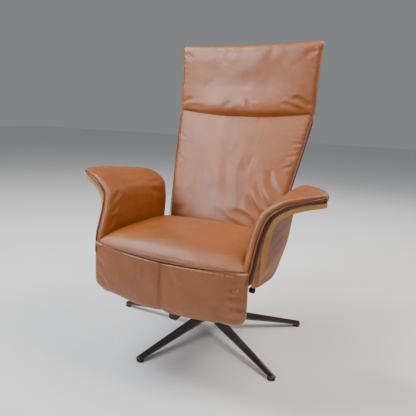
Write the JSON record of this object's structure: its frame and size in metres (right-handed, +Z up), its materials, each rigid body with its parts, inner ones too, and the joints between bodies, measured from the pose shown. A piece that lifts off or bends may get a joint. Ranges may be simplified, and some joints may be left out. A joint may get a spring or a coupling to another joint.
{
  "type": "recliner armchair",
  "caption": "Swivel reclining armchair with leather cushions, flared bent-wood arms, tilting headrest and swing-out footrest on a low star base.",
  "frame": {"origin": "on the floor, under the middle of the chair's box; the swivel axis stands 38 mm behind it", "axes": "+Z up, -Y the way the chair faces, +X to the sitter's left"},
  "size_m": [0.828, 0.793, 1.1],
  "materials": {
    "leather": "semi-aniline cowhide with a soft sheen",
    "walnut_shell": "satin lacquered bent plywood with a light edge",
    "plywood": "raw plywood",
    "dark_bronze": "polished bronze-black",
    "black_steel": "black powder coat",
    "bright_steel": "zinc-plated steel",
    "black_plastic": "moulded",
    "black_rubber": "moulded",
    "grey_cable": "sheathed wire"
  },
  "bodies": {
    "base": {"base_hub": "dark_bronze", "base_leg_1": "dark_bronze", "base_leg_2": "dark_bronze", "base_leg_3": "dark_bronze", "base_leg_4": "dark_bronze", "base_leg_5": "dark_bronze", "foot_glides": "black_plastic", "column_tube": "dark_bronze", "column_bushes": "black_plastic", "thrust_bearing": "bright_steel"},
    "back": {"recline_tube": "black_steel", "recline_crank": "black_steel", "back_hinge_plate_left": "black_steel", "back_hinge_plate_right": "black_steel", "back_upright_left": "black_steel", "back_upright_right": "black_steel", "back_crossbar_low": "black_steel", "back_crossbar_high": "black_steel", "back_springs": "bright_steel", "back_cushion": "leather", "back_rear_cover": "leather", "headrest_stem_left": "black_steel", "headrest_stem_right": "black_steel"},
    "gas_rod": {"gas_spring_rod": "bright_steel"},
    "headrest": {"headrest_cushion": "leather", "headrest_bar": "bright_steel", "headrest_plate": "black_steel"},
    "footrest": {"footrest_cushion": "leather", "footrest_board": "plywood", "footrest_hinge_rod": "bright_steel", "footrest_lugs": "black_steel", "footrest_buffer": "black_rubber"},
    "lever": {"release_lever": "black_steel", "lever_knob": "black_plastic"},
    "seat": {"arm_bracket_left": "black_steel", "arm_bracket_right": "black_steel", "arm_pad_left": "leather", "arm_pad_right": "leather", "arm_shell_left": "walnut_shell", "arm_shell_right": "walnut_shell", "carrier_plate_left": "black_steel", "carrier_plate_right": "black_steel", "footrest_bracket_left": "black_steel", "footrest_bracket_right": "black_steel", "front_crossbar": "black_steel", "gas_spring_anchor": "black_steel", "gas_spring_cylinder": "black_steel", "lever_pin": "bright_steel", "mechanism_plate": "black_steel", "rear_crossbar": "black_steel", "recline_bracket_left": "black_steel", "recline_bracket_right": "black_steel", "recline_shaft": "bright_steel", "release_cable": "grey_cable", "seat_cushion": "leather", "seat_rail_left": "black_steel", "seat_rail_right": "black_steel", "seat_springs": "bright_steel", "swivel_spindle": "bright_steel"}
  },
  "joints": [
    {"name": "swivel", "type": "hinge", "parent": "base", "child": "seat", "pos_m": [0, 0.038, 0], "axis": [0, 0, 1], "continuous": true},
    {"name": "recline", "type": "hinge", "parent": "seat", "child": "back", "pos_m": [0, 0.113, 0.385], "axis": [-1, 0, 0], "range_deg": [0, 30]},
    {"name": "gas_spring_slide", "type": "slide", "parent": "seat", "child": "gas_rod", "axis": [0, -1, 0], "range_m": [0, 0.0312]},
    {"name": "headrest_tilt", "type": "hinge", "parent": "back", "child": "headrest", "pos_m": [0, 0.272, 0.862], "axis": [1, 0, 0], "range_deg": [-15, 25]},
    {"name": "footrest_swing", "type": "hinge", "parent": "seat", "child": "footrest", "pos_m": [0, -0.3745, 0.4], "axis": [-1, 0, 0], "range_deg": [0, 85]},
    {"name": "release_lever_lift", "type": "hinge", "parent": "seat", "child": "lever", "pos_m": [0.238, -0.208, 0.356], "axis": [-1, 0, 0], "range_deg": [0, 18], "stiffness_Nm_per_rad": 0.4, "springref_deg": -17.19}
  ],
  "couplings": [
    {"joint": "gas_spring_slide", "follows": "recline", "m_per_rad": 0.05932}
  ]
}
